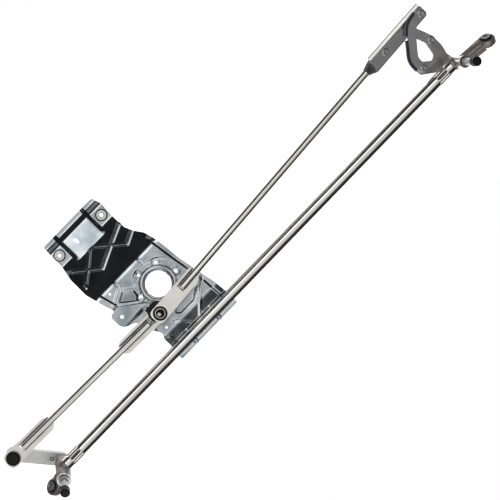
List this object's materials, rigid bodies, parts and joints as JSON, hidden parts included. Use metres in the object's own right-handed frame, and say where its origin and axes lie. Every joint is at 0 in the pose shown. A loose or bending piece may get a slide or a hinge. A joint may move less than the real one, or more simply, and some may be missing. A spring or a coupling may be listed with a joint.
{
  "type": "windshield wiper linkage",
  "caption": "Wiper linkage with frame tube, stamped motor bracket, die-cast pivot bearings, drive rods, levers and crossed links that swing the wiper shafts.",
  "frame": {"origin": "underside of the right bracket sleeve, on that fixing's axis, where the bracket sits on the cowl", "axes": "+X along the frame tube towards the crossed-link end, +Y from the tube towards the bracket's cowl fixings, +Z out of the vehicle along the bracket bolts, the side the wiper arms go on"},
  "size_m": [1.0373, 0.3075, 0.1221],
  "materials": {
    "galvanised_tube": "glossy zinc",
    "bracket_sheet": "glossy zinc",
    "rod_end_plate": "satin zinc",
    "link_steel": "satin",
    "die_cast": "cast, matt",
    "bright_steel": "turned, bright",
    "sintered_bronze": "matt",
    "rubber": "matt",
    "black_plastic": "moulded, satin"
  },
  "bodies": {
    "frame": {"frame_tube": "galvanised_tube", "motor_bracket": "bracket_sheet", "left_bearing_casting": "die_cast", "right_bearing_casting": "die_cast", "left_lower_bush": "sintered_bronze", "left_upper_bush": "sintered_bronze", "right_lower_bush": "sintered_bronze", "right_upper_bush": "sintered_bronze", "left_ear_grommet": "rubber", "left_ear_sleeve": "bright_steel", "right_ear_grommet": "rubber", "right_ear_sleeve": "bright_steel", "bracket_left_grommet": "rubber", "bracket_left_sleeve": "bright_steel", "bracket_right_grommet": "rubber", "bracket_right_sleeve": "bright_steel"},
    "left_drive": {"left_pivot_shaft": "bright_steel", "left_lever": "bracket_sheet", "left_ball_stud": "bright_steel", "left_thrust_washer": "bright_steel", "left_lower_wave_washer": "bright_steel", "left_sealing_ring": "rubber", "left_upper_washer": "bright_steel", "left_circlip": "bright_steel"},
    "left_rod": {"left_rod_tube": "galvanised_tube", "left_rod_outer_end": "rod_end_plate", "left_rod_inner_end": "rod_end_plate", "left_ball_socket": "black_plastic", "crank_socket": "black_plastic", "crank_joint_shield": "black_plastic", "crank_stud": "bright_steel"},
    "right_drive": {"right_pivot_shaft": "bright_steel", "right_lever_plate": "link_steel", "right_thrust_washer": "bright_steel", "right_lower_wave_washer": "bright_steel", "right_sealing_ring": "rubber", "right_upper_washer": "bright_steel", "right_circlip": "bright_steel", "link_a_lever_rivet": "link_steel", "link_b_lever_rivet": "link_steel", "link_b_lever_spacer": "bright_steel"},
    "link_a": {"cross_link_a": "link_steel", "link_a_rod_rivet": "link_steel"},
    "right_rod": {"right_rod_tube": "link_steel", "right_rod_inner_end": "rod_end_plate", "crank_joint_bush": "black_plastic", "crank_joint_sleeve": "bright_steel"},
    "link_b": {"cross_link_b": "link_steel", "link_b_rod_rivet": "link_steel", "link_b_rod_spacer": "bright_steel"},
    "left_cap": {"left_shaft_cap": "black_plastic"},
    "right_cap": {"right_shaft_cap": "black_plastic"}
  },
  "joints": [
    {"name": "left_pivot", "type": "hinge", "parent": "frame", "child": "left_drive", "pos_m": [-0.3265, -0.228, 0.0048], "axis": [-0.2606, -0.3509, 0.8994], "range_deg": [-58, 10]},
    {"name": "left_ball_joint", "type": "hinge", "parent": "left_drive", "child": "left_rod", "pos_m": [-0.3782, -0.1706, 0.02556], "axis": [-0.2631, -0.2311, 0.9367], "range_deg": [-12, 69.1]},
    {"name": "right_pivot", "type": "hinge", "parent": "frame", "child": "right_drive", "pos_m": [0.564, -0.23, 0.0048], "axis": [0.2475, -0.2775, 0.9283], "range_deg": [-62.6, 10.8]},
    {"name": "link_a_pivot", "type": "hinge", "parent": "right_drive", "child": "link_a", "pos_m": [0.56876, -0.18461, 0.0171], "axis": [0.2475, -0.2775, 0.9283], "range_deg": [-6.2, 35.7]},
    {"name": "right_rod_pivot", "type": "hinge", "parent": "link_a", "child": "right_rod", "pos_m": [0.50276, -0.14561, 0.04636], "axis": [0.2475, -0.2775, 0.9283], "range_deg": [-3.1, 18]},
    {"name": "link_b_pivot", "type": "hinge", "parent": "right_drive", "child": "link_b", "pos_m": [0.52676, -0.20661, 0.02172], "axis": [0.2475, -0.2775, 0.9283], "range_deg": [-5.8, 33.3]},
    {"name": "left_cap_pull", "type": "slide", "parent": "left_drive", "child": "left_cap", "axis": [-0.2606, -0.3509, 0.8994], "range_m": [0, 0.02]},
    {"name": "right_cap_pull", "type": "slide", "parent": "right_drive", "child": "right_cap", "axis": [0.2475, -0.2775, 0.9283], "range_m": [0, 0.02]}
  ],
  "couplings": [
    {"joint": "left_ball_joint", "follows": "left_pivot", "ratio": -1.1904},
    {"joint": "right_pivot", "follows": "left_pivot", "ratio": 1.0793},
    {"joint": "link_a_pivot", "follows": "left_pivot", "ratio": -0.6147},
    {"joint": "right_rod_pivot", "follows": "left_pivot", "ratio": -0.31},
    {"joint": "link_b_pivot", "follows": "left_pivot", "ratio": -0.5727}
  ]
}
